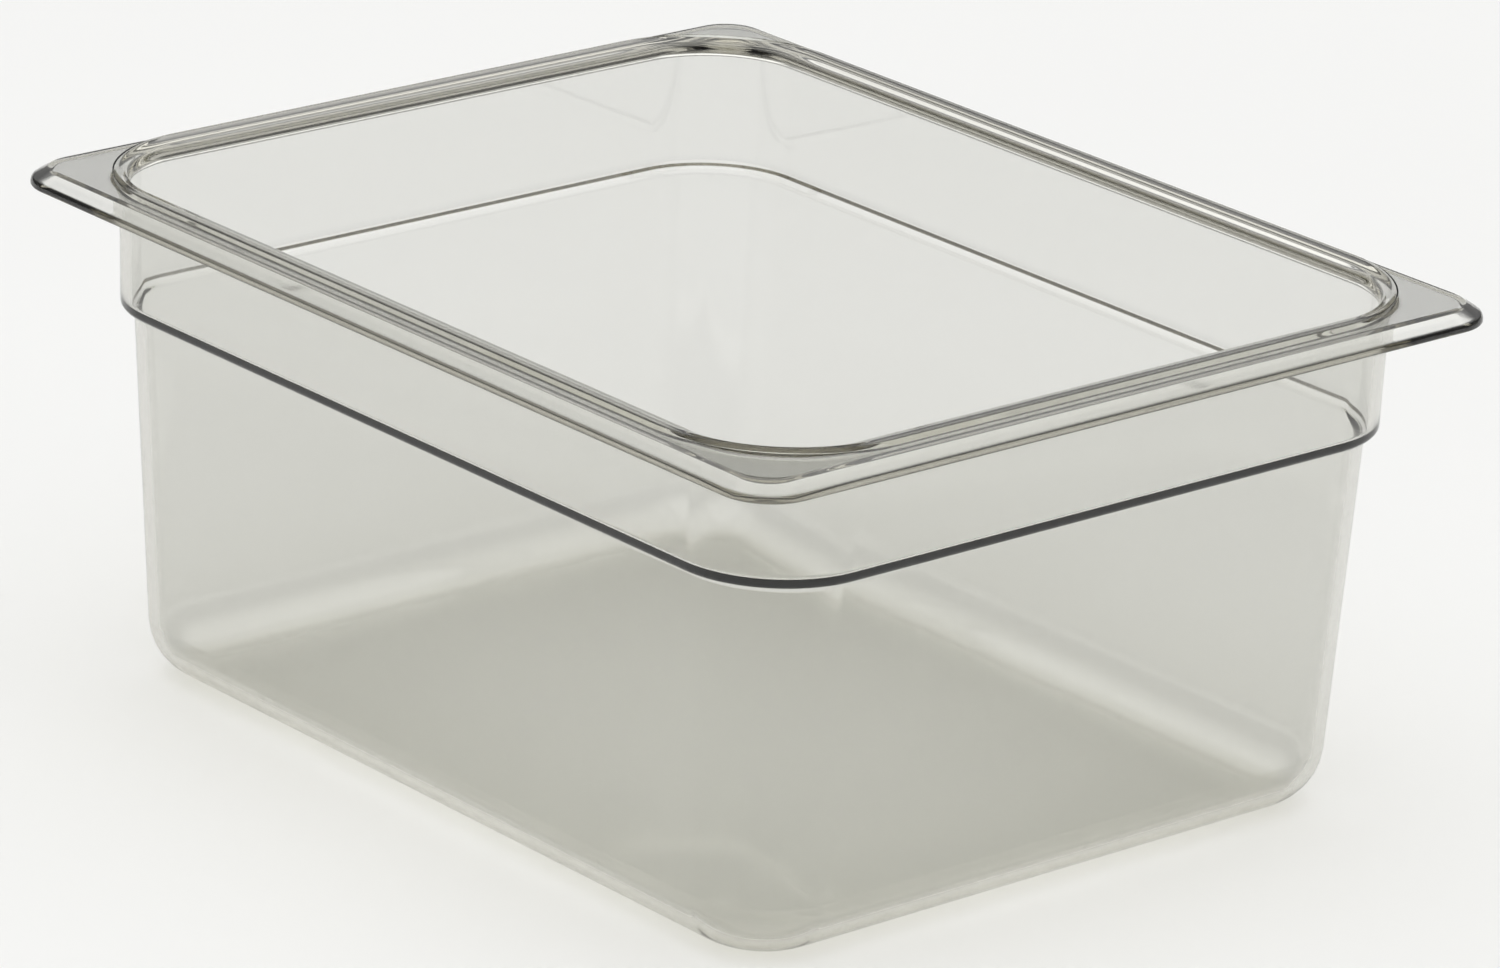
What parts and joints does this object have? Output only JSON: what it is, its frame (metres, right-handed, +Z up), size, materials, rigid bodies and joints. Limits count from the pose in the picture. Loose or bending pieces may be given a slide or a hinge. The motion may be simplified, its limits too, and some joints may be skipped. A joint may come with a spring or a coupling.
{
  "type": "deli food pan",
  "caption": "Clear half-size food pan with a hanging rim, a raised bead round the flared mouth, a stacking shoulder and drafted walls that round into a flat base.",
  "frame": {"origin": "middle of the flat base, on the surface that the pan stands on", "axes": "+X along the long side, +Y along the short side, +Z up out of the mouth"},
  "size_m": [0.325, 0.265, 0.15],
  "materials": {
    "clear_plastic": "clear polished polycarbonate, slightly warm grey at the edges"
  },
  "bodies": {
    "root": {"pan": "clear_plastic"}
  },
  "joints": []
}
